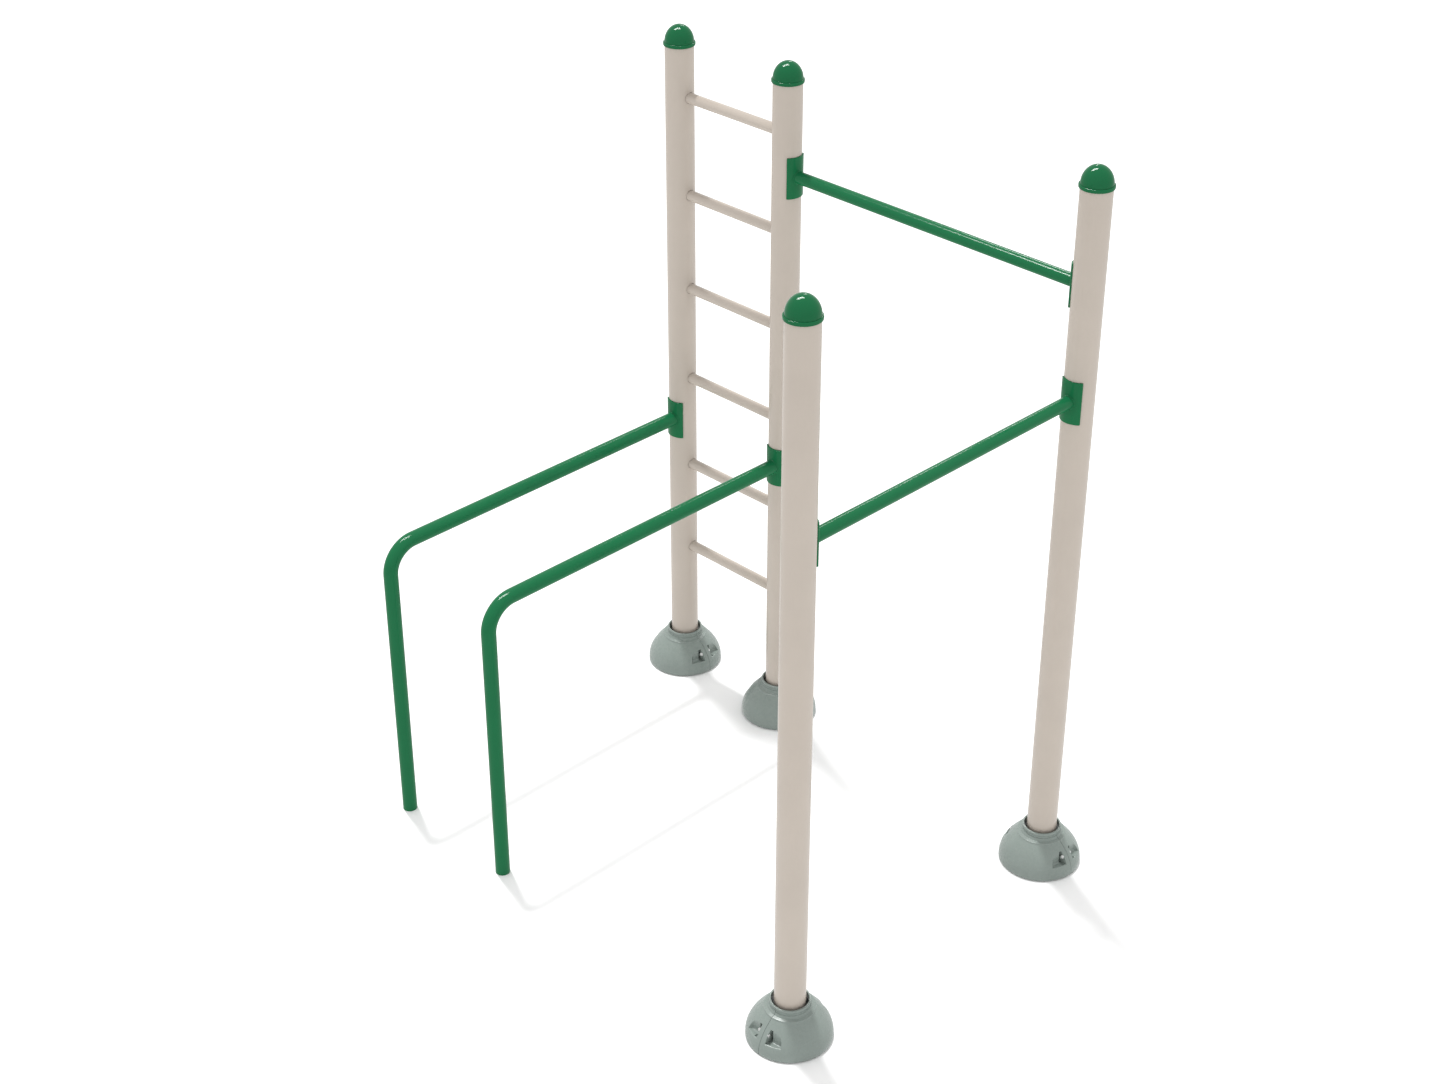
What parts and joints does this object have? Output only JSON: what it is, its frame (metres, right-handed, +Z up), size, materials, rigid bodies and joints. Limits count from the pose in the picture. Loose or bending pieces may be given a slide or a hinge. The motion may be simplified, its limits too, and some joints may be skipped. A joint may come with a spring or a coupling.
{
  "type": "outdoor fitness climbing frame",
  "caption": "Outdoor fitness station on round capped posts: a vertical ladder, a high and a low pull-up bar set at a right angle, and bent parallel bars reaching to the ground.",
  "frame": {"origin": "on the ground, at the centre of the object's plan", "axes": "+Z up; +X runs from the ladder posts towards the corner post, along the high pull-up bar; -Y runs from the ladder along the parallel bars to their legs"},
  "size_m": [2.039, 1.532, 2.556],
  "materials": {
    "post_paint": "satin beige powder coat",
    "bar_paint": "satin-gloss green powder coat",
    "cap_paint": "gloss green powder coat",
    "cover_plastic": "satin grey-green moulded plastic",
    "zinc_steel": "zinc plated"
  },
  "bodies": {
    "root": {"ladder_post_left": "post_paint", "ladder_post_left_cap": "cap_paint", "ladder_post_left_base_plate": "zinc_steel", "ladder_post_left_anchor_1": "zinc_steel", "ladder_post_left_anchor_2": "zinc_steel", "ladder_post_left_anchor_3": "zinc_steel", "ladder_post_left_anchor_4": "zinc_steel", "ladder_post_left_cover_a": "cover_plastic", "ladder_post_left_cover_bolt_a": "zinc_steel", "ladder_post_left_cover_b": "cover_plastic", "ladder_post_left_cover_bolt_b": "zinc_steel", "ladder_post_right": "post_paint", "ladder_post_right_cap": "cap_paint", "ladder_post_right_base_plate": "zinc_steel", "ladder_post_right_anchor_1": "zinc_steel", "ladder_post_right_anchor_2": "zinc_steel", "ladder_post_right_anchor_3": "zinc_steel", "ladder_post_right_anchor_4": "zinc_steel", "ladder_post_right_cover_a": "cover_plastic", "ladder_post_right_cover_bolt_a": "zinc_steel", "ladder_post_right_cover_b": "cover_plastic", "ladder_post_right_cover_bolt_b": "zinc_steel", "corner_post": "post_paint", "corner_post_cap": "cap_paint", "corner_post_base_plate": "zinc_steel", "corner_post_anchor_1": "zinc_steel", "corner_post_anchor_2": "zinc_steel", "corner_post_anchor_3": "zinc_steel", "corner_post_anchor_4": "zinc_steel", "corner_post_cover_a": "cover_plastic", "corner_post_cover_bolt_a": "zinc_steel", "corner_post_cover_b": "cover_plastic", "corner_post_cover_bolt_b": "zinc_steel", "end_post": "post_paint", "end_post_cap": "cap_paint", "end_post_base_plate": "zinc_steel", "end_post_anchor_1": "zinc_steel", "end_post_anchor_2": "zinc_steel", "end_post_anchor_3": "zinc_steel", "end_post_anchor_4": "zinc_steel", "end_post_cover_a": "cover_plastic", "end_post_cover_bolt_a": "zinc_steel", "end_post_cover_b": "cover_plastic", "end_post_cover_bolt_b": "zinc_steel", "rung_1": "post_paint", "rung_2": "post_paint", "rung_3": "post_paint", "rung_4": "post_paint", "rung_5": "post_paint", "rung_6": "post_paint", "high_bar": "bar_paint", "high_bar_saddle_start": "bar_paint", "high_bar_saddle_end": "bar_paint", "low_bar": "bar_paint", "low_bar_saddle_start": "bar_paint", "low_bar_saddle_end": "bar_paint", "parallel_bar_left": "bar_paint", "parallel_bar_left_saddle": "bar_paint", "parallel_bar_right": "bar_paint", "parallel_bar_right_saddle": "bar_paint"}
  },
  "joints": []
}
